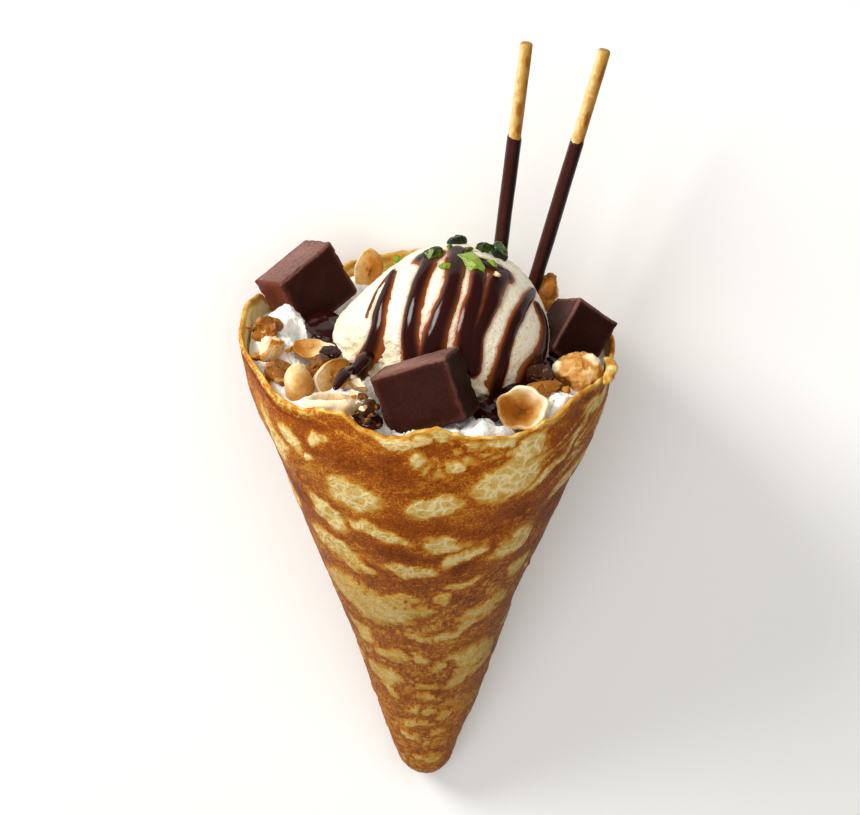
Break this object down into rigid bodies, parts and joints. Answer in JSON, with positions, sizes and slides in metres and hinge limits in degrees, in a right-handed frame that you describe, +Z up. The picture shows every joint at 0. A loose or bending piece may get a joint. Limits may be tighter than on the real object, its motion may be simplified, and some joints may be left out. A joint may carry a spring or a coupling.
{
  "type": "filled crepe cone",
  "caption": "Rolled crepe cone filled with whipped cream and vanilla ice cream, topped with chocolate blocks, sauce, hazelnuts, pistachio bits and coated biscuit sticks.",
  "frame": {"origin": "on the floor under the middle of the whole part's box, as it lies on its back", "axes": "+Y from the pointed tip towards the open mouth and the biscuit sticks, +Z up out of the side that is shown, +X to the right of that side"},
  "size_m": [0.102, 0.2158, 0.0954],
  "materials": {
    "crepe": "baked, matt with a slight sheen of butter; golden brown mottling with pale blistered patches",
    "cream": "soft, satin, white",
    "vanilla": "frozen, finely porous, satin",
    "chocolate": "cut chocolate, matt with a faint cocoa bloom",
    "coat": "thin chocolate coating, semi-gloss",
    "biscuit": "baked biscuit, matt, with brown scorch marks",
    "nut": "roasted, lightly caramelised, semi-gloss",
    "nut_pale": "roasted and peeled, satin"
  },
  "bodies": {
    "root": {"crepe_wrap": "crepe", "whipped_cream": "cream", "vanilla_scoop": "vanilla", "chocolate_block_left": "chocolate", "chocolate_block_front": "chocolate", "chocolate_block_right": "chocolate", "biscuit_stick_left": "biscuit", "biscuit_stick_right": "biscuit", "stick_coat_left": "coat", "stick_coat_right": "coat", "hazelnut_half_back": "nut_pale", "hazelnut_half_front_right": "nut_pale", "hazelnut_half_front_left": "nut_pale", "hazelnut_half_left_rim": "nut_pale", "hazelnut_half_ragged": "nut_pale", "hazelnut_peeled_right": "nut_pale", "nut_piece_back_right": "nut", "nut_piece_right": "nut", "nut_piece_dark": "nut", "nut_piece_left_top": "nut", "nut_piece_left_ragged": "nut_pale", "nut_slice_left": "nut", "nut_chunk_left": "nut", "nut_piece_left_middle": "nut", "nut_crumb_front": "nut"}
  },
  "joints": []
}
